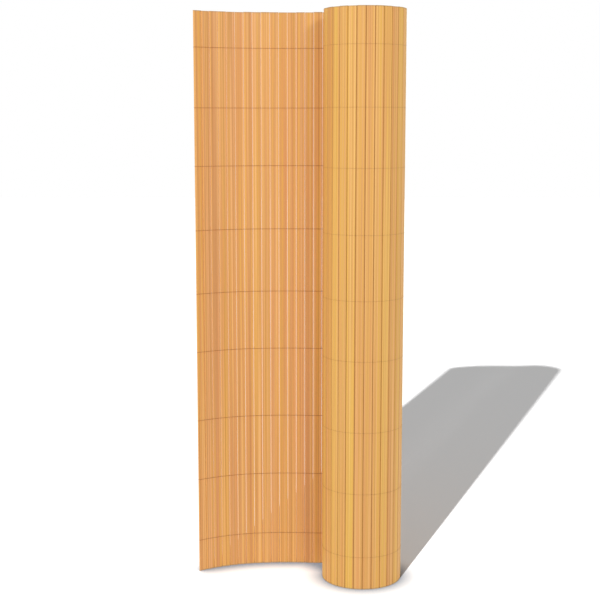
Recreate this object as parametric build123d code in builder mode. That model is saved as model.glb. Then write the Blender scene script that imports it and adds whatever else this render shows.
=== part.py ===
# Garden privacy screen: hollow PVC slats standing side by side and held by nine
# pairs of tie wires. It stands on the slats' ends, most of it still rolled up,
# with its free end swung open as a leaf.
import os
from math import asin, cos, degrees, radians, sin, sqrt

from build123d import *

os.makedirs("parts", exist_ok=True)

# The screen
screen_height = 900.0
screen_length = 3000.0

# One slat
slat_width = 13.6
slat_thickness = 2.4
slat_wall = 0.45
slat_gap = 0.3

# One tie line: two strands that pass in front of and behind each slat and cross in
# the gaps. The lines were set by hand, so each drifts a little from even spacing.
wire_size = 0.3
wire_fit = 0.05
lowest_tie = 52.0
highest_tie = 844.0
tie_drift = [0, 3, 2, 15, 10, 12, 14, 6, 0]
fork_length = 8.0

# The roll, wound from the core outwards
core_radius = 26.4
turn_slack = 0.8
web_thickness = 0.6
outer_turn_slats = 28
loose_slats = 12
leaf_lift = 2.5

# The leaf leaves the back of the roll, bends back on itself and sweeps forward.
# Each bend is a number of slats and how far each turns from the one before.
take_off_angle = 5.0
leaf_bends = [(2, 13.8), (5, -4.0), (6, 2.15), (7, 3.7)]

# Sizes that follow
slat_pitch = slat_width + slat_gap
slat_count = round(screen_length / slat_pitch)
leaf_slats = sum(slats for slats, turn in leaf_bends)
wound_slats = slat_count - leaf_slats
separate_slats = leaf_slats + outer_turn_slats
end_radius = slat_thickness / 2
end_centre = slat_width / 2 - end_radius
strand_reach = end_radius + wire_fit + wire_size
turn_pitch = slat_thickness + 2 * (wire_fit + wire_size) + turn_slack
tie_spacing = (highest_tie - lowest_tie) / (len(tie_drift) - 1)
tie_heights = [lowest_tie + line * tie_spacing + drift for line, drift in enumerate(tie_drift)]


def wound_gaps():
    """Gaps between the wound slats, from the take-off to the core, about the roll's axis."""
    angle, radius = 0.0, core_radius
    gaps = [(angle, radius)]
    first_loose = wound_slats - loose_slats
    for slat in range(wound_slats):
        loosened = max(0, slat + 1 - first_loose) ** 2 - max(0, slat - first_loose) ** 2
        lift = leaf_lift * loosened / loose_slats**2
        step = degrees(slat_pitch / radius)
        for _ in range(5):
            next_radius = radius + turn_pitch * step / 360 + lift
            along = sqrt(slat_pitch**2 - (next_radius - radius) ** 2)
            step = 2 * degrees(asin(along / (2 * sqrt(radius * next_radius))))
        angle, radius = angle + step, next_radius
        gaps.append((angle, radius))
    turned = [(radians(take_off_angle + angle - at), reach) for at, reach in reversed(gaps)]
    return [Vector(reach * sin(at), reach * cos(at)) for at, reach in turned]


def leaf_gaps(take_off, next_gap):
    """Gaps between the leaf's slats, from its free end to the take-off."""
    gaps = [take_off]
    step = take_off - next_gap
    for slats, turn in leaf_bends:
        for _ in range(slats):
            step = step.rotate(Axis.Z, turn)
            gaps.append(gaps[-1] + step)
    return gaps[:0:-1]


def slat_planes(gaps):
    """One plane per slat: X along the mat from the free end, Y out of the roll."""
    pairs = zip(gaps, gaps[1:])
    return [Plane(origin=(a + b) / 2, x_dir=b - a, z_dir=(0, 0, 1)) for a, b in pairs]


def centred(gaps):
    """The same gaps about the middle of the screen's outline seen from above."""
    held = slat_planes(gaps)
    middle = Vector(0, 0)
    for axis in (Vector(1, 0), Vector(0, 1)):
        reach = [end_centre * abs(place.x_dir.dot(axis)) + strand_reach for place in held]
        high = max(place.origin.dot(axis) + out for place, out in zip(held, reach))
        low = min(place.origin.dot(axis) - out for place, out in zip(held, reach))
        middle += axis * (high + low) / 2
    return [gap - middle for gap in gaps]


wound = wound_gaps()
places = slat_planes(centred(leaf_gaps(wound[0], wound[1]) + wound))
rolled_places = places[separate_slats:]

# A slat's section: a flat tube with round ends and a web across its middle
with BuildSketch(Plane.XY) as slat_section:
    SlotOverall(slat_width, slat_thickness)
    SlotOverall(slat_width - 2 * slat_wall, slat_thickness - 2 * slat_wall, mode=Mode.SUBTRACT)
    Rectangle(slat_wall, slat_thickness - slat_wall)

# Slats of the leaf and of the roll's outermost turn, numbered from the free end
for number, place in enumerate(places[:separate_slats], start=1):
    with BuildPart() as slat:
        with BuildSketch(place):
            add(slat_section.sketch)
        extrude(amount=screen_height)
    slat.part.label = f"slat_{number:02d}"
    export_step(slat.part, f"parts/{slat.part.label}.step")


def ridge_corners(place, side):
    """Corners of one rolled slat's face, on the roll's outer (1) or inner (-1) side."""
    web_side = web_thickness / 2
    tip = end_centre + sqrt(end_radius**2 - web_side**2)
    corners = [(-tip, web_side), (-end_centre, end_radius), (end_centre, end_radius), (tip, web_side)]
    return [place.from_local_coords(Vector(x, side * y)) for x, y in corners]


# The rest of the roll in one piece: a hollow ridge for each slat and a web in each gap
outer_side = [corner for place in rolled_places for corner in ridge_corners(place, 1)]
inner_side = [corner for place in rolled_places for corner in ridge_corners(place, -1)]
with BuildPart() as rolled_slats:
    with BuildSketch(Plane.XY) as roll_section:
        with BuildLine():
            Polyline(*outer_side, *reversed(inner_side), close=True)
        make_face()
        with Locations(*[place.location for place in rolled_places]):
            Rectangle(2 * end_centre, slat_thickness - 2 * slat_wall, mode=Mode.SUBTRACT)
    extrude(amount=screen_height)
rolled_slats.part.label = "rolled_slats"
export_step(rolled_slats.part, "parts/rolled_slats.step")

# A tie wire's bends round one slat: eight-sided ends outside and inside
octagon_corner = 2 - sqrt(2)
with BuildSketch(Plane.XY) as ring_outside:
    Rectangle(slat_width + 2 * (wire_fit + wire_size), 2 * strand_reach)
    chamfer(ring_outside.vertices(), octagon_corner * strand_reach)
with BuildSketch(Plane.XY) as ring_inside:
    Rectangle(slat_width + 2 * wire_fit, slat_thickness + 2 * wire_fit)
    chamfer(ring_inside.vertices(), octagon_corner * (end_radius + wire_fit))

# Tie wires: a ring round each separate slat, fused to the next in the gap. Each ends
# as a fork over the first slat of the rolled piece.
tied_places = places[: separate_slats + 1]
with BuildSketch(Plane.XY) as tie_section:
    with Locations(*[place.location for place in tied_places]):
        add(ring_outside.sketch)
        add(ring_inside.sketch, mode=Mode.SUBTRACT)
    with Locations(tied_places[-1].location):
        with Locations((fork_length - slat_width / 2, 0)):
            Rectangle(slat_width, 2 * strand_reach, align=(Align.MIN, Align.CENTER), mode=Mode.SUBTRACT)

for number, height in enumerate(tie_heights, start=1):
    with BuildPart() as tie_wire:
        with BuildSketch(Plane.XY.offset(height - wire_size / 2)):
            add(tie_section.sketch)
        extrude(amount=wire_size)
    tie_wire.part.label = f"tie_wire_{number}"
    export_step(tie_wire.part, f"parts/{tie_wire.part.label}.step")
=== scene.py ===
# %% [markdown]
# # A rolled privacy screen
# The object is a garden screen of hollow PVC slats. Nine lines of thin coated wire
# hold the slats side by side, so the screen rolls up like a mat. It stands on the
# slats' ends as a roll, with its free end swung open as a leaf. This lesson dresses
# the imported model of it: the slats, the wires, their finishes, then floor and light.

# %% Load the frame and keep its box
import cmath
import math

import bpy
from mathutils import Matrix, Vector


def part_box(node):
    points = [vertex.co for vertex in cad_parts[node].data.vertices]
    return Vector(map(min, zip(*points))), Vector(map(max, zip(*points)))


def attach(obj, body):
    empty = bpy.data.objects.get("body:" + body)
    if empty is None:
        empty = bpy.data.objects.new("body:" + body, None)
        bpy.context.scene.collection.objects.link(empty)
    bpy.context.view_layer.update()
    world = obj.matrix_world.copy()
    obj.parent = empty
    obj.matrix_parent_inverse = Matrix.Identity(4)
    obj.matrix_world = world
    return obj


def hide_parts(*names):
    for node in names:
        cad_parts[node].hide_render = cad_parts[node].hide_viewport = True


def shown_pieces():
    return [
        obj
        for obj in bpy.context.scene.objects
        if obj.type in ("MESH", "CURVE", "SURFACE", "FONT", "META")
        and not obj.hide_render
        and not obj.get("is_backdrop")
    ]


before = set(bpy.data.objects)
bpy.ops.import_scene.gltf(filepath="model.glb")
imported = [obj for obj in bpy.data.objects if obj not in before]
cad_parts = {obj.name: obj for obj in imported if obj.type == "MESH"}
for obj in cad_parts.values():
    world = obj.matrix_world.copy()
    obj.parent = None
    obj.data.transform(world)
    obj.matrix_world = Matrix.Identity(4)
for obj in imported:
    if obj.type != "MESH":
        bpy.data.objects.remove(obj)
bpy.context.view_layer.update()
scene = bpy.context.scene

# %% [markdown]
# ## Sizes
# The slats and wires are made again here, finer than the solids, so their sizes are
# the solids' own. A real slat is as wide as a finger and as thick as a coin. The sizes
# are written in millimetres, as such a product is measured, and Blender's metres come
# from one factor. The slats' height and the tie lines' heights are read from the frame.

# %% Sizes of the screen, in millimetres
MM = 0.001
slat_width = 13.6
slat_thickness = 2.4
slat_wall = 0.45
slat_gap = 0.3
wire_size = 0.3
wire_fit = 0.05
core_radius = 26.4
turn_slack = 0.8
take_off_angle = 5.0
loose_slats = 12
leaf_lift = 2.5
leaf_bends = [(2, 13.8), (5, -4.0), (6, 2.15), (7, 3.7)]
wound_slats = 196

slat_pitch = slat_width + slat_gap
turn_pitch = slat_thickness + 2 * (wire_fit + wire_size) + turn_slack
slat_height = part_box("rolled_slats")[1].z / MM
tie_names = sorted(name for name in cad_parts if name.startswith("tie_wire_"))
tie_heights = [(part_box(name)[0].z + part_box(name)[1].z) / 2 / MM for name in tie_names]
print("slats in the roll:", wound_slats, "height:", round(slat_height, 1), "mm")
print("tie lines at heights of", [round(height) for height in tie_heights], "mm")

# %% [markdown]
# ## The line of the mat
# Seen from above, the mat is one long chain of straight slats. In the roll the gaps
# between them lie on a spiral, which opens a little before the leaf. In the leaf each
# slat turns by a small angle from the one before. A complex number is a handy point
# in a plane: adding moves it, and multiplying by a unit number turns it.

# %% Work out where the gaps between the slats are
def wound_gaps():
    """Gaps of the roll from the leaf's take-off to the core, about the roll's axis."""
    angle, radius = 0.0, core_radius
    polar = [(radius, angle)]
    first_loose = wound_slats - loose_slats
    for slat in range(wound_slats):
        loosened = max(0, slat + 1 - first_loose) ** 2 - max(0, slat - first_loose) ** 2
        lift = leaf_lift * loosened / loose_slats**2
        step = slat_pitch / radius
        for _ in range(5):
            next_radius = radius + turn_pitch * step / math.tau + lift
            along = math.sqrt(slat_pitch**2 - (next_radius - radius) ** 2)
            step = 2 * math.asin(along / (2 * math.sqrt(radius * next_radius)))
        angle, radius = angle + step, next_radius
        polar.append((radius, angle))
    start = math.radians(90 - take_off_angle) - angle
    return [cmath.rect(reach, start + at) for reach, at in reversed(polar)]


def leaf_gaps(take_off, next_gap):
    """Gaps of the leaf from its free end to the take-off."""
    line = [take_off]
    step = take_off - next_gap
    for slats, turn in leaf_bends:
        for _ in range(slats):
            step *= cmath.rect(1, math.radians(turn))
            line.append(line[-1] + step)
    return line[:0:-1]


wound = wound_gaps()
gaps = leaf_gaps(wound[0], wound[1]) + wound
low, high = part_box("slat_01")
first_slat = complex(low.x + high.x, low.y + high.y) / 2 / MM
roll_axis = first_slat - (gaps[0] + gaps[1]) / 2
gaps = [gap + roll_axis for gap in gaps]
slat_middles = [(a + b) / 2 for a, b in zip(gaps, gaps[1:])]
slat_headings = [cmath.phase(b - a) for a, b in zip(gaps, gaps[1:])]
print("slats:", len(slat_middles), "roll's axis:", roll_axis, "free end:", gaps[0])

# %% [markdown]
# ## A helper for node trees
# Geometry and materials are both trees of nodes. One small function adds a node,
# sets it up and links or fills its inputs, so that each tree reads as a list of
# steps. An input is named by its label, among those that the node's settings switch
# on, or by its number where two share a label.

# %% Add a node with its settings and links
def add_node(tree, kind, inputs=None, **settings):
    """Adds a node. Each input is given a value, a socket, or a node for its main output."""
    made = tree.nodes.new(kind)
    for name, value in settings.items():
        setattr(made, name, value)
    for key, value in (inputs or {}).items():
        socket = made.inputs[key]
        if isinstance(key, str):
            socket = [found for found in made.inputs if found.enabled and found.name == key][0]
        for source in value if isinstance(value, list) else [value]:
            if isinstance(source, bpy.types.Node):
                source = [found for found in source.outputs if found.enabled][0]
            if isinstance(source, bpy.types.NodeSocket):
                tree.links.new(source, socket)
            else:
                socket.default_value = source
    return made


# %% [markdown]
# ## A helper for Geometry Nodes
# Each tree of Geometry Nodes is a small machine with named inputs for its sizes. It
# runs once, on a bare mesh of points or lines, and leaves a plain mesh. The machine
# itself is then thrown away, so nothing is left to recompute.

# %% Make a geometry tree and run it
SOCKET_KINDS = {float: "NodeSocketFloat", int: "NodeSocketInt", bpy.types.Material: "NodeSocketMaterial"}


def new_geometry_tree(name, sizes):
    """A geometry tree with a named input for each size, and the sockets that give them."""
    tree = bpy.data.node_groups.new(name, "GeometryNodeTree")
    tree.interface.new_socket("Geometry", in_out="INPUT", socket_type="NodeSocketGeometry")
    for label, value in sizes.items():
        tree.interface.new_socket(label, in_out="INPUT", socket_type=SOCKET_KINDS[type(value)])
    tree.interface.new_socket("Geometry", in_out="OUTPUT", socket_type="NodeSocketGeometry")
    return tree, add_node(tree, "NodeGroupInput").outputs


def end_geometry_tree(tree, geometry, material):
    """Ends a tree: what is instanced becomes real mesh and gets its material."""
    real = add_node(tree, "GeometryNodeRealizeInstances", {"Geometry": geometry})
    painted = add_node(tree, "GeometryNodeSetMaterial", {"Geometry": real, "Material": material})
    add_node(tree, "NodeGroupOutput", {"Geometry": painted})


def run_geometry_tree(tree, name, base, sizes):
    """Runs a tree on a base mesh and gives the result as a plain mesh object."""
    maker = bpy.data.objects.new(name + "_maker", base)
    scene.collection.objects.link(maker)
    modifier = maker.modifiers.new("make", "NODES")
    modifier.node_group = tree
    for item in tree.interface.items_tree:
        if item.name in sizes:
            modifier[item.identifier] = sizes[item.name]
    evaluated = maker.evaluated_get(bpy.context.evaluated_depsgraph_get())
    mesh = bpy.data.meshes.new_from_object(evaluated)
    bpy.data.objects.remove(maker)
    mesh.name = name
    made = bpy.data.objects.new(name, mesh)
    scene.collection.objects.link(made)
    mesh.calc_loop_triangles()
    print(name, "triangles:", len(mesh.loop_triangles))
    return made


# %% [markdown]
# ## Colours
# Colours are picked as sRGB hex values, as on a colour card, but Blender works with
# linear light, so one function converts them.

# %% Turn a hex colour into a linear one
def linear(hex_colour):
    """An sRGB hex colour as linear red, green, blue and alpha."""
    shares = [int(hex_colour[at:at + 2], 16) / 255 for at in (1, 3, 5)]
    light = [share / 12.92 if share <= 0.04045 else ((share + 0.055) / 1.055) ** 2.4 for share in shares]
    return (*light, 1.0)


def new_material(name):
    """A material with an empty node tree, and that tree."""
    material = bpy.data.materials.new(name)
    material.use_nodes = True
    material.node_tree.nodes.clear()
    return material, material.node_tree


# %% [markdown]
# ## The slats' colour
# The slats are rigid PVC, coloured through and drawn out by an extruder, which leaves
# streaks along them, as in split bamboo. Each slat has its own tone, from a pinkish tan
# to honey, and the side that faces inwards in the roll is the pinker one. A colour card
# gives the tones, and four layers of noise, stretched along the slat, give the streaks.
# A random number that each slat carries picks its tone and its own piece of the noise.
# Real streaks are a few tenths of a millimetre wide, too fine to show in the render, so
# they are drawn a few millimetres wide.

# %% Tones
INNER_TONES = ["#D0955D", "#DB9F60", "#D69B58", "#DEA65C"]
OUTER_TONES = ["#E0A45F", "#DFAC58", "#E9BA56", "#E5AD60"]


def tone_card(tree, tone, colours):
    """A ramp of evenly spaced colours, read by a slat's tone."""
    card = add_node(tree, "ShaderNodeValToRGB", {"Fac": tone})
    stops = card.color_ramp.elements
    for spot in range(1, len(colours) - 1):
        stops.new(spot / (len(colours) - 1))
    for stop, colour in zip(stops, colours):
        stop.color = linear(colour)
    return card


def tint(tree, base, share, strength, hex_colour):
    """The base colour with another laid over it where a share says so."""
    weight = add_node(tree, "ShaderNodeMath", {0: share, 1: strength}, operation="MULTIPLY")
    return add_node(tree, "ShaderNodeMix", {
        "Factor": weight, "A": base, "B": linear(hex_colour)}, data_type="RGBA")


print("tones:", len(INNER_TONES), "on the inner side,", len(OUTER_TONES), "on the outer side")

# %% Streaks
# A layer of streaks has a width and a length in millimetres, the levels of the noise
# at which it starts and is full, its strength and its colour.
STREAKS = {
    "honey": (4.2, 800.0, 0.42, 0.62, 0.75, "#E8AE4E"),
    "pink": (2.8, 500.0, 0.48, 0.62, 0.6, "#DA935F"),
    "pale": (1.5, 900.0, 0.5, 0.66, 0.6, "#FBC586"),
    "brown": (1.7, 700.0, 0.54, 0.68, 0.5, "#BD8042"),
}
# How much calmer the streaks are on the outer side, and how far apart in the noise the
# palest and darkest tone lie, and two layers.
OUTER_CALM = 0.15
TONE_STEP = 400.0
LAYER_STEP = 60.0


def streaks(tree, spot, layer, width, length, start, full):
    """How much of a streak there is at a spot, from 0 to 1. Each slat and layer has its own noise."""
    across, tone, height = spot
    beside = add_node(tree, "ShaderNodeMath", {0: across, 1: width}, operation="DIVIDE")
    slat_row = add_node(tree, "ShaderNodeMath", {
        0: tone, 1: TONE_STEP, 2: LAYER_STEP * layer}, operation="MULTIPLY_ADD")
    along = add_node(tree, "ShaderNodeMath", {0: height, 1: length * MM}, operation="DIVIDE")
    place = add_node(tree, "ShaderNodeCombineXYZ", {"X": beside, "Y": slat_row, "Z": along})
    noise = add_node(tree, "ShaderNodeTexNoise", {"Vector": place, "Scale": 1.0, "Detail": 1.0})
    return add_node(tree, "ShaderNodeMapRange", {"Value": noise, "From Min": start, "From Max": full})


def streaked_colour(tree, spot, side):
    """A slat's tone with its streaks, a little calmer on the outer side, and the pale streaks alone."""
    across, tone, height = spot
    inner = tone_card(tree, tone, INNER_TONES)
    outer = tone_card(tree, tone, OUTER_TONES)
    plain = add_node(tree, "ShaderNodeMix", {"Factor": side, "A": inner, "B": outer}, data_type="RGBA")
    colour = plain
    shares = {}
    for layer, (name, (width, length, start, full, strength, hue)) in enumerate(STREAKS.items(), start=1):
        shares[name] = streaks(tree, spot, layer, width, length, start, full)
        colour = tint(tree, colour, shares[name], strength, hue)
    calm = add_node(tree, "ShaderNodeMath", {0: side, 1: OUTER_CALM}, operation="MULTIPLY")
    colour = add_node(tree, "ShaderNodeMix", {"Factor": calm, "A": colour, "B": plain}, data_type="RGBA")
    return colour, shares["pale"]


print("layers of streaks:", ", ".join(STREAKS))

# %% [markdown]
# ## The slats' edges and ends
# A painted highlight makes a slat's rounded edges paler on its inner side, where they turn
# to the light, and a painted shade makes them darker on its outer side, down in the grooves
# of the roll. On the inner side a narrow warm painted shade lies above and below each tie
# wire. The last millimetres at both ends are dull from the saw, and the cut itself is an
# even tan. Each is one more colour laid over the streaks, with a share worked out from the
# place on the slat.

# %% Edges, wires and ends
# In millimetres: where the rounded edge starts and where it is full, from the slat's
# middle, and how far the painted shade of a wire and the dull rim at an end reach.
EDGE_START = 5.4
EDGE_END = 6.3
WIRE_REACH = 0.8
BURR = 2.4
# How strongly each colour is laid on, and the colour: a painted highlight on the inner
# side's edges, a painted shade on the outer side's edges and beside the wires, the dull
# rim and the sawn end.
INNER_EDGE_HIGHLIGHT = (1.0, "#F9BC6E")
OUTER_EDGE_SHADE = (0.32, "#99692A")
WIRE_SHADE = (0.35, "#D8803A")
DULL_RIM = (0.8, "#A68C66")
SAWN_END = (1.0, "#CFA77C")


def beside_wires(tree, height):
    """1 on a slat's surface close above and below a tie line, where the painted wire shade goes, and 0
    elsewhere.
    """
    share = 0.0
    for tie_height in tie_heights:
        near = add_node(tree, "ShaderNodeMath", {
            0: height, 1: tie_height * MM, 2: WIRE_REACH * MM}, operation="COMPARE")
        share = add_node(tree, "ShaderNodeMath", {0: share, 1: near}, operation="MAXIMUM")
    return share


def near_ends(tree, height):
    """1 at a slat's sawn ends, falling to 0 over the dull rim beside them."""
    off_centre = add_node(tree, "ShaderNodeMath", {
        0: height, 1: slat_height / 2 * MM}, operation="SUBTRACT")
    from_centre = add_node(tree, "ShaderNodeMath", {0: off_centre}, operation="ABSOLUTE")
    return add_node(tree, "ShaderNodeMapRange", {
        "Value": from_centre, "From Min": (slat_height / 2 - BURR) * MM, "From Max": slat_height / 2 * MM})


def edged_colour(tree, colour, spot, side):
    """The streaked colour with a painted highlight on the inner edges, painted shade on the outer edges and
    beside the wires, and the dull ends laid over it.
    """
    across, tone, height = spot
    off_middle = add_node(tree, "ShaderNodeMath", {0: across}, operation="ABSOLUTE")
    edge = add_node(tree, "ShaderNodeMapRange", {
        "Value": off_middle, "From Min": EDGE_START, "From Max": EDGE_END})
    inner_side = add_node(tree, "ShaderNodeMath", {0: side, 1: -1.0, 2: 1.0}, operation="MULTIPLY_ADD")
    # Painted highlight on the inner side's rounded edges, painted shade on the outer side's.
    edge_highlight = add_node(tree, "ShaderNodeMath", {0: edge, 1: inner_side}, operation="MULTIPLY")
    edge_shade = add_node(tree, "ShaderNodeMath", {0: edge, 1: side}, operation="MULTIPLY")
    # Painted warm shade beside each tie wire, on the inner side only.
    wire_shade = add_node(tree, "ShaderNodeMath", {
        0: beside_wires(tree, height), 1: inner_side}, operation="MULTIPLY")
    colour = tint(tree, colour, edge_highlight, *INNER_EDGE_HIGHLIGHT)
    colour = tint(tree, colour, edge_shade, *OUTER_EDGE_SHADE)
    colour = tint(tree, colour, wire_shade, *WIRE_SHADE)
    return tint(tree, colour, near_ends(tree, height), *DULL_RIM)


print("rounded edge:", round(EDGE_END - EDGE_START, 1), "mm, dull rim:", BURR, "mm")

# %% [markdown]
# ## The slats' material
# Extruded PVC is smooth but not polished, so it shows a soft, broad sheen: a roughness
# a little over a half and an index of refraction of 1.53. The pale streaks stand out a
# few hundredths of a millimetre, which a bump gives.

# %% The material of the slats
def slat_material():
    """Rigid PVC, extruded: satin, with streaks that run along each slat."""
    material, tree = new_material("rigid_pvc_extruded")
    tone = add_node(tree, "ShaderNodeAttribute", attribute_name="slat_tone").outputs["Fac"]
    across = add_node(tree, "ShaderNodeAttribute", attribute_name="slat_across").outputs["Fac"]
    side = add_node(tree, "ShaderNodeAttribute", attribute_name="slat_side").outputs["Fac"]
    sawn = add_node(tree, "ShaderNodeAttribute", attribute_name="slat_sawn").outputs["Fac"]
    place = add_node(tree, "ShaderNodeTexCoord").outputs["Object"]
    height = add_node(tree, "ShaderNodeSeparateXYZ", {"Vector": place}).outputs["Z"]
    spot = (across, tone, height)
    colour, pale_streaks = streaked_colour(tree, spot, side)
    colour = edged_colour(tree, colour, spot, side)
    colour = tint(tree, colour, sawn, *SAWN_END)
    relief = add_node(tree, "ShaderNodeBump", {
        "Strength": 0.3, "Distance": 0.05 * MM, "Height": pale_streaks})
    skin = add_node(tree, "ShaderNodeBsdfPrincipled", {
        "Base Color": colour, "Roughness": 0.55, "IOR": 1.53, "Specular IOR Level": 0.35, "Normal": relief})
    add_node(tree, "ShaderNodeOutputMaterial", {"Surface": skin})
    return material


slat_finish = slat_material()
print("material:", slat_finish.name, "nodes:", len(slat_finish.node_tree.nodes))

# %% [markdown]
# ## One slat
# A slat is a flat tube with round edges and a web down its middle, made by pushing
# PVC through a die. The tree draws that section as curves: the skin, and one chamber
# each side of the web. Filled together, the chambers stay open as holes.

# %% The section of one slat
# Corners are rounded by a share of the section's depth: fully, just under half of it,
# or slightly, beside the web. The points are those of one corner.
FULL_ROUND = 0.4995
SLIGHT_ROUND = 0.1
SKIN_POINTS = 4
CHAMBER_POINTS = 3


def slat_section(tree, given):
    """The slat's section as a flat filled face with its two chambers left open."""
    skin_radius = add_node(tree, "ShaderNodeMath", {
        0: given["Thickness"], 1: FULL_ROUND}, operation="MULTIPLY")
    skin = add_node(tree, "GeometryNodeCurvePrimitiveQuadrilateral", {
        "Width": given["Width"], "Height": given["Thickness"]})
    skin = add_node(tree, "GeometryNodeFilletCurve", {
        "Curve": skin, "Radius": skin_radius, "Count": SKIN_POINTS}, mode="POLY")

    walls = add_node(tree, "ShaderNodeMath", {0: given["Wall"], 1: 2.0}, operation="MULTIPLY")
    depth = add_node(tree, "ShaderNodeMath", {0: given["Thickness"], 1: walls}, operation="SUBTRACT")
    room = add_node(tree, "ShaderNodeMath", {0: given["Width"], 1: walls}, operation="SUBTRACT")
    room = add_node(tree, "ShaderNodeMath", {0: room, 1: given["Wall"]}, operation="SUBTRACT")
    width = add_node(tree, "ShaderNodeMath", {0: room, 1: 0.5}, operation="MULTIPLY")
    offset = add_node(tree, "ShaderNodeMath", {0: width, 1: given["Wall"]}, operation="ADD")
    offset = add_node(tree, "ShaderNodeMath", {0: offset, 1: 0.5}, operation="MULTIPLY")
    aside = add_node(tree, "ShaderNodeCombineXYZ", {"X": offset})

    place = add_node(tree, "GeometryNodeInputPosition")
    beside = add_node(tree, "ShaderNodeSeparateXYZ", {"Vector": place}).outputs["X"]
    far_end = add_node(tree, "ShaderNodeMath", {0: beside, 1: 0.0}, operation="GREATER_THAN")
    rounding = add_node(tree, "ShaderNodeMapRange", {
        "Value": far_end, "To Min": SLIGHT_ROUND, "To Max": FULL_ROUND})
    corner = add_node(tree, "ShaderNodeMath", {0: depth, 1: rounding}, operation="MULTIPLY")
    chamber = add_node(tree, "GeometryNodeCurvePrimitiveQuadrilateral", {"Width": width, "Height": depth})
    chamber = add_node(tree, "GeometryNodeFilletCurve", {
        "Curve": chamber, "Radius": corner, "Count": CHAMBER_POINTS}, mode="POLY")
    chamber = add_node(tree, "GeometryNodeTransform", {"Geometry": chamber, "Translation": aside})
    opposite = add_node(tree, "GeometryNodeTransform", {"Geometry": chamber, "Rotation": (0, 0, math.pi)})

    curves = add_node(tree, "GeometryNodeJoinGeometry", {"Geometry": [skin, chamber, opposite]})
    return add_node(tree, "GeometryNodeFillCurve", {"Curve": curves}, mode="TRIANGLES")


print("corners rounded by up to", round(FULL_ROUND * slat_thickness, 2), "mm")

# %% [markdown]
# ## The slat stood up
# The filled section is pulled up to the slat's height, and a flipped copy closes its
# foot. The finish has to know where it is on a slat, so three numbers are stored on the
# mesh: millimetres from the slat's middle, 0 to 1 from its inner side to its outer
# side, and 1 on its sawn ends. They turn and move with the slat, as a place would not.

# %% One whole slat
WELD = 0.002 * MM


def upright_slat(tree, given):
    """One slat standing on the origin, with what its finish needs stored on it."""
    section = slat_section(tree, given)
    upwards = add_node(tree, "ShaderNodeCombineXYZ", {"Z": given["Height"]})
    raised = add_node(tree, "GeometryNodeExtrudeMesh", {
        "Mesh": section, "Offset": upwards, "Offset Scale": 1.0, "Individual": False}, mode="FACES")
    foot = add_node(tree, "GeometryNodeFlipFaces", {"Mesh": section})
    open_slat = add_node(tree, "GeometryNodeJoinGeometry", {"Geometry": [raised, foot]})
    slat = add_node(tree, "GeometryNodeMergeByDistance", {"Geometry": open_slat, "Distance": WELD})

    normal = add_node(tree, "GeometryNodeInputNormal")
    tilt = add_node(tree, "ShaderNodeSeparateXYZ", {"Vector": normal}).outputs["Z"]
    level = add_node(tree, "ShaderNodeMath", {0: tilt}, operation="ABSOLUTE")
    is_end = add_node(tree, "FunctionNodeCompare", {"A": level, "B": 0.5}, operation="GREATER_THAN")

    place = add_node(tree, "GeometryNodeInputPosition")
    place = add_node(tree, "ShaderNodeSeparateXYZ", {"Vector": place}).outputs
    across = add_node(tree, "ShaderNodeMath", {0: place["X"], 1: MM}, operation="DIVIDE")
    depth = add_node(tree, "ShaderNodeMath", {0: place["Y"], 1: given["Thickness"]}, operation="DIVIDE")
    side = add_node(tree, "ShaderNodeMath", {0: depth, 1: 0.5}, operation="ADD")
    stored = [("slat_across", "POINT", across), ("slat_side", "POINT", side), ("slat_sawn", "FACE", is_end)]
    for name, domain, value in stored:
        slat = add_node(tree, "GeometryNodeStoreNamedAttribute", {
            "Geometry": slat, "Name": name, "Value": value}, data_type="FLOAT", domain=domain)
    return slat


print("weld distance:", WELD / MM, "mm")

# %% [markdown]
# ## The row of slats
# The tree stands a slat at each point of the mat's line. No two slats are cut or
# seated quite alike, so each is turned a little about its own axis, cut a fraction
# short, and given a tone of its own. A fixed seed and the slat's number make the
# random numbers the same in every run.

# %% Stand up the slats
SLAT_SIZES = {
    "Width": slat_width * MM,
    "Thickness": slat_thickness * MM,
    "Wall": slat_wall * MM,
    "Height": slat_height * MM,
    "End play": 0.6 * MM,
    "Twist": math.radians(0.6),
    "Seed": 7,
    "Material": slat_finish,
}


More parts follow.
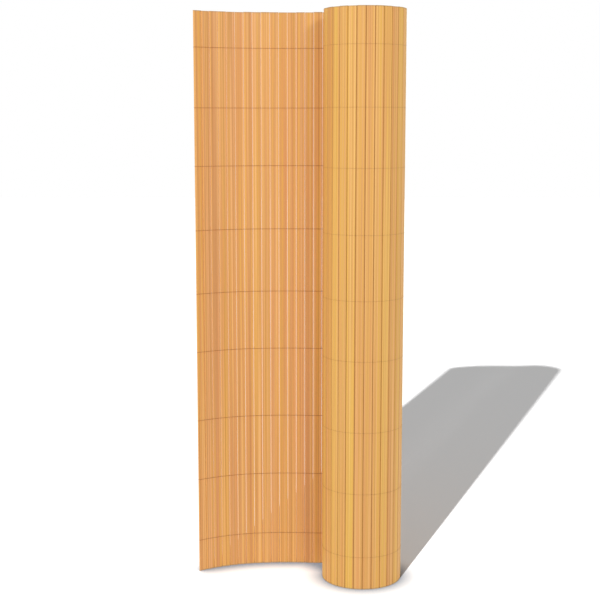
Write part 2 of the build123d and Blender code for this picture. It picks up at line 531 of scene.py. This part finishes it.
def slat_row_tree():
    """The tree that stands a slat at each point of its mesh."""
    tree, given = new_geometry_tree("slat_row", SLAT_SIZES)
    number = add_node(tree, "GeometryNodeInputNamedAttribute", {"Name": "slat_number"}, data_type="INT")
    heading = add_node(tree, "GeometryNodeInputNamedAttribute", {"Name": "slat_heading"}, data_type="FLOAT")

    chances = []
    for draw in range(3):
        seed = add_node(tree, "ShaderNodeMath", {0: given["Seed"], 1: float(draw)}, operation="ADD")
        chance = add_node(tree, "FunctionNodeRandomValue", {"ID": number, "Seed": seed}, data_type="FLOAT")
        chances.append(chance)
    tone, play, turn = chances

    swing = add_node(tree, "ShaderNodeMapRange", {"Value": turn, "To Min": -1.0, "To Max": 1.0})
    twist = add_node(tree, "ShaderNodeMath", {0: swing, 1: given["Twist"]}, operation="MULTIPLY")
    angle = add_node(tree, "ShaderNodeMath", {0: heading, 1: twist}, operation="ADD")
    turned = add_node(tree, "ShaderNodeCombineXYZ", {"Z": angle})
    facing = add_node(tree, "FunctionNodeEulerToRotation", {"Euler": turned})
    cut = add_node(tree, "ShaderNodeMath", {0: play, 1: given["End play"]}, operation="MULTIPLY")
    cut = add_node(tree, "ShaderNodeMath", {0: cut, 1: given["Height"]}, operation="DIVIDE")
    left = add_node(tree, "ShaderNodeMath", {0: 1.0, 1: cut}, operation="SUBTRACT")
    size = add_node(tree, "ShaderNodeCombineXYZ", {"X": 1.0, "Y": 1.0, "Z": left})

    points = add_node(tree, "GeometryNodeStoreNamedAttribute", {
        "Geometry": given["Geometry"], "Name": "slat_tone", "Value": tone},
        data_type="FLOAT", domain="POINT")
    row = add_node(tree, "GeometryNodeInstanceOnPoints", {
        "Points": points, "Instance": upright_slat(tree, given), "Rotation": facing, "Scale": size})
    end_geometry_tree(tree, row, given["Material"])
    return tree


def slat_points(first, last):
    """A mesh with one point for each slat, numbered from 1 at the leaf's free end."""
    mesh = bpy.data.meshes.new("slat_points")
    chosen = range(first - 1, last)
    middles = [slat_middles[at] * MM for at in chosen]
    mesh.from_pydata([(middle.real, middle.imag, 0) for middle in middles], [], [])
    numbers = mesh.attributes.new("slat_number", "INT", "POINT")
    numbers.data.foreach_set("value", [at + 1 for at in chosen])
    headings = mesh.attributes.new("slat_heading", "FLOAT", "POINT")
    headings.data.foreach_set("value", [slat_headings[at] for at in chosen])
    return mesh


slat_tree = slat_row_tree()
leaf_slats = sum(slats for slats, turn in leaf_bends)
separate_slats = sum(1 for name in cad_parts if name.startswith("slat_"))
separate_names = [f"slat_{number:02d}" for number in range(1, separate_slats + 1)]
rows = {
    "leaf_slats": (1, leaf_slats, separate_names[:leaf_slats]),
    "outer_turn_slats": (leaf_slats + 1, separate_slats, separate_names[leaf_slats:]),
    "wound_slats": (separate_slats + 1, len(slat_middles), ["rolled_slats"]),
}
for name, (first, last, stood_for) in rows.items():
    row = run_geometry_tree(slat_tree, name, slat_points(first, last), SLAT_SIZES)
    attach(row, "root")
    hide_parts(*stood_for)
    print(name, "stands for", len(stood_for), "solids")

# %% [markdown]
# ## The wires' finish
# The tie wires are thin steel with a coat of soft brown plastic, so they show no
# metal. The coat is a little uneven along its length, which a noise of about a
# centimetre gives, and it is paler on the mat's outer side.

# %% The material of the wires
MOTTLE = 12.0


def wire_material():
    """Plastic-coated steel wire: brown, satin, uneven, paler on the mat's outer side."""
    material, tree = new_material("plastic_coated_wire")
    side = add_node(tree, "ShaderNodeAttribute", attribute_name="wire_side").outputs["Fac"]
    place = add_node(tree, "ShaderNodeTexCoord").outputs["Object"]
    mottle = add_node(tree, "ShaderNodeTexNoise", {
        "Vector": place, "Scale": 1 / (MOTTLE * MM), "Detail": 1.0})
    coat = add_node(tree, "ShaderNodeMix", {
        "Factor": mottle, "A": linear("#542A08"), "B": linear("#6E3F14")}, data_type="RGBA")
    # Paler where the wire lies on the mat's outer side.
    coat = tint(tree, coat, side, 0.8, "#CB9850")
    skin = add_node(tree, "ShaderNodeBsdfPrincipled", {"Base Color": coat, "Roughness": 0.6, "IOR": 1.5})
    add_node(tree, "ShaderNodeOutputMaterial", {"Surface": skin})
    return material


wire_finish = wire_material()
print("material:", wire_finish.name)

# %% [markdown]
# ## The tie wires
# Each line has two strands. One passes in front of a slat and the other behind it, and
# they change sides in every gap, crossing one above the other. The bends of a strand
# are worked out here as a line of points, and a small tree turns the line into a
# curve and runs a round wire along it.

# %% Run the wires round the slats
WIRE_SIZES = {"Wire": wire_size * MM, "Sides": 6, "Material": wire_finish}
BEND_STEPS = 3
flat_half = (slat_width - slat_thickness) / 2
bend_radius = slat_thickness / 2 + wire_fit + wire_size / 2


def wire_tree():
    """The tree that runs a round wire along the edges of its mesh."""
    tree, given = new_geometry_tree("wire_run", WIRE_SIZES)
    line = add_node(tree, "GeometryNodeMeshToCurve", {"Mesh": given["Geometry"]})
    half_size = add_node(tree, "ShaderNodeMath", {0: given["Wire"], 1: 0.5}, operation="MULTIPLY")
    ring = add_node(tree, "GeometryNodeCurvePrimitiveCircle", {
        "Resolution": given["Sides"], "Radius": half_size}, mode="RADIUS")
    wire = add_node(tree, "GeometryNodeCurveToMesh", {
        "Curve": line, "Profile Curve": ring, "Fill Caps": True})
    wire = add_node(tree, "GeometryNodeSetShadeSmooth", {"Geometry": wire, "Shade Smooth": True})
    end_geometry_tree(tree, wire, given["Material"])
    return tree


def bend_points():
    """A strand's way over one slat from gap to gap: along the slat, and out from it."""
    turns = [math.radians(90 * step / BEND_STEPS) for step in range(BEND_STEPS)]
    rise = [(flat_half + bend_radius * math.cos(turn), bend_radius * math.sin(turn)) for turn in turns]
    over = rise + [(flat_half, bend_radius)]
    return [(-along, out) for along, out in over] + [(along, out) for along, out in reversed(over)]


def strand_points(height, strand):
    """The points of one strand, from the free end to the core, and which side of the mat each is on."""
    points, sides = [], []
    for number, (middle, heading) in enumerate(zip(slat_middles, slat_headings)):
        side = 1 if (number + strand) % 2 else -1
        ahead = cmath.rect(1, heading)
        for along, out in bend_points():
            spot = middle + ahead * complex(along, side * out)
            crossing = wire_size / 2 * (1 - out / bend_radius) ** 2
            lift = crossing * (1 if strand else -1)
            points.append((spot.real * MM, spot.imag * MM, (height + lift) * MM))
            sides.append(0.5 + 0.5 * side * out / bend_radius)
    return points, sides


def tie_mesh(height):
    """Both strands of one tie line as a mesh of joined points."""
    mesh = bpy.data.meshes.new("tie_lines")
    points, sides, edges = [], [], []
    for strand in (0, 1):
        run, run_sides = strand_points(height, strand)
        edges += [(len(points) + at, len(points) + at + 1) for at in range(len(run) - 1)]
        points += run
        sides += run_sides
    mesh.from_pydata(points, edges, [])
    mesh.attributes.new("wire_side", "FLOAT", "POINT").data.foreach_set("value", sides)
    return mesh


tie_tree = wire_tree()
for name, height in zip(tie_names, tie_heights):
    tie = run_geometry_tree(tie_tree, name.replace("wire", "line"), tie_mesh(height), WIRE_SIZES)
    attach(tie, "root")
    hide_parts(name)
print("tie lines:", len(tie_names))

# %% [markdown]
# ## The floor and the surroundings
# The studio is a plain pale floor under a plain white surround. The camera, and what
# shows as a reflection, see the surround as pure white and the floor as nearly so. The
# light that they give the object is softer than that, so that its colours come out as
# they are written. Right beside what stands on it the floor carries a painted contact
# shade, which ambient occlusion over a few centimetres gives.

# %% The floor's paint
# The painted contact shade looks this far around, in millimetres. It is full where half of the
# view is open, and gone where nearly all of it is.
CONTACT = 48.0
SHADE_FULL = 0.5
SHADE_GONE = 0.92


def seen_directly(tree):
    """1 for a ray from the camera, a reflection or clear parts, 0 for one that only carries light."""
    ray = add_node(tree, "ShaderNodeLightPath").outputs
    seen = 0.0
    for kind in ("Is Camera Ray", "Is Glossy Ray", "Is Transmission Ray"):
        seen = add_node(tree, "ShaderNodeMath", {0: seen, 1: ray[kind]}, operation="MAXIMUM")
    return seen


def floor_material():
    """Matt painted floor, pale and even, with a greyer painted contact shade in the narrow strip along what
    stands on it.
    """
    material, tree = new_material("painted_floor")
    around = add_node(tree, "ShaderNodeAmbientOcclusion", {"Distance": CONTACT * MM}, samples=16)
    clear = add_node(tree, "ShaderNodeMapRange", {
        "Value": around.outputs["AO"], "From Min": SHADE_FULL, "From Max": SHADE_GONE})
    # Painted contact shade: grey-blue where the floor is closed in, its pale colour where open.
    colour = add_node(tree, "ShaderNodeMix", {
        "Factor": clear, "A": linear("#7B8591"), "B": linear("#EFEFEF")}, data_type="RGBA")
    colour = add_node(tree, "ShaderNodeMix", {
        "Factor": seen_directly(tree), "A": linear("#D6D6D6"), "B": colour}, data_type="RGBA")
    paint = add_node(tree, "ShaderNodeBsdfDiffuse", {"Color": colour})
    add_node(tree, "ShaderNodeOutputMaterial", {"Surface": paint})
    return material


floor_paint = floor_material()
print("material:", floor_paint.name)

# %% Floor and world
FLOOR_HALF = 10.0
SKY_LIGHT = 0.5

floor_mesh = bpy.data.meshes.new("floor")
corners = [(-1, -1), (1, -1), (1, 1), (-1, 1)]
floor_mesh.from_pydata([(x * FLOOR_HALF, y * FLOOR_HALF, 0) for x, y in corners], [], [(0, 1, 2, 3)])
floor_mesh.materials.append(floor_paint)
floor = bpy.data.objects.new("floor", floor_mesh)
scene.collection.objects.link(floor)
floor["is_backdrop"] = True

world = bpy.data.worlds.new("studio")
world.use_nodes = True
scene.world = world
sky = world.node_tree
sky.nodes.clear()
strength = add_node(sky, "ShaderNodeMapRange", {
    "Value": seen_directly(sky), "To Min": SKY_LIGHT, "To Max": 1.0})
glow = add_node(sky, "ShaderNodeBackground", {"Color": (1, 1, 1, 1), "Strength": strength})
add_node(sky, "ShaderNodeOutputWorld", {"Surface": glow})
print("floor half size:", FLOOR_HALF, "m, sky light:", SKY_LIGHT)

# %% [markdown]
# ## The lamps
# Four lamps share the work. Three softboxes light the object alone: a large one on the
# left rounds the roll, a small one on the right throws the roll's shadow on the end of
# the leaf beside it, and one behind lifts the back. A hard lamp, high on the left, falls
# on the floor alone and draws the long shadow. Light linking says which object a lamp
# reaches. A level of 1 is a lamp that shows a white surface facing it as white.

# %% A helper for lamps
def add_lamp(name, kind, place, travel, lit):
    """A lamp that shines from a place along a direction, on the objects lit alone."""
    lamp = bpy.data.lights.new(name, kind)
    holder = bpy.data.objects.new(name, lamp)
    holder.location = place
    holder.rotation_euler = travel.to_track_quat("-Z", "Y").to_euler()
    scene.collection.objects.link(holder)
    reach = bpy.data.collections.new(name + "_reach")
    for thing in lit:
        reach.objects.link(thing)
    holder.light_linking.receiver_collection = reach
    return lamp


# %% The lamps
# Each softbox has its place and width in metres and its level, and aims at the middle of
# the object. The shadow lamp looks small from the floor, so its shadow is nearly sharp.
# Its light travels, in millimetres, from the top of the roll to the end of the shadow.
SOFTBOXES = {
    "left_softbox": (Vector((-1.2, -1.7, 1.3)), 0.9, 0.265),
    "right_softbox": (Vector((0.9, -2.1, 1.75)), 0.25, 0.18),
    "back_softbox": (Vector((0.4, 2.3, 1.4)), 0.9, 0.22),
}
SOFTBOX_AIM = Vector((0, 0, 0.5))
HEIGHT_FOR_WIDTH = 1.5
SHADOW_LEVEL = 0.95
SHADOW_LAMP_WIDTH = math.radians(0.6)
shadow_travel = Vector((613, 1702, -900))

for name, (place, width, level) in SOFTBOXES.items():
    travel = SOFTBOX_AIM - place
    softbox = add_lamp(name, "AREA", place, travel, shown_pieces())
    softbox.shape = "RECTANGLE"
    softbox.size = width
    softbox.size_y = HEIGHT_FOR_WIDTH * width
    softbox.energy = level * (math.pi * travel.length) ** 2

fall = -shadow_travel.normalized().z
shadow_lamp = add_lamp("shadow_lamp", "SUN", -shadow_travel * MM, shadow_travel, [floor])
shadow_lamp.angle = SHADOW_LAMP_WIDTH
shadow_lamp.energy = SHADOW_LEVEL / fall * math.pi
print("the shadow lamp is", round(math.degrees(math.asin(fall))), "degrees above the floor")

# %% [markdown]
# ## The camera
# The camera stands almost two metres in front of the screen, at four fifths of its
# height, and looks slightly down. A long lens keeps the sides of the roll nearly upright.

# %% Camera
camera_place = Vector((1.1, -1950.0, 730.0)) * MM
camera_pitch = -8.13
focal_pixels = 1250
frame_pixels = 600

lens = bpy.data.cameras.new("camera")
lens.sensor_width = 36.0
lens.lens = focal_pixels / frame_pixels * lens.sensor_width
camera = bpy.data.objects.new("camera", lens)
camera.location = camera_place
camera.rotation_euler = (math.radians(90 + camera_pitch), 0, 0)
scene.collection.objects.link(camera)
scene.camera = camera
scene.view_settings.view_transform = "Standard"
print("lens:", round(lens.lens, 1), "mm")
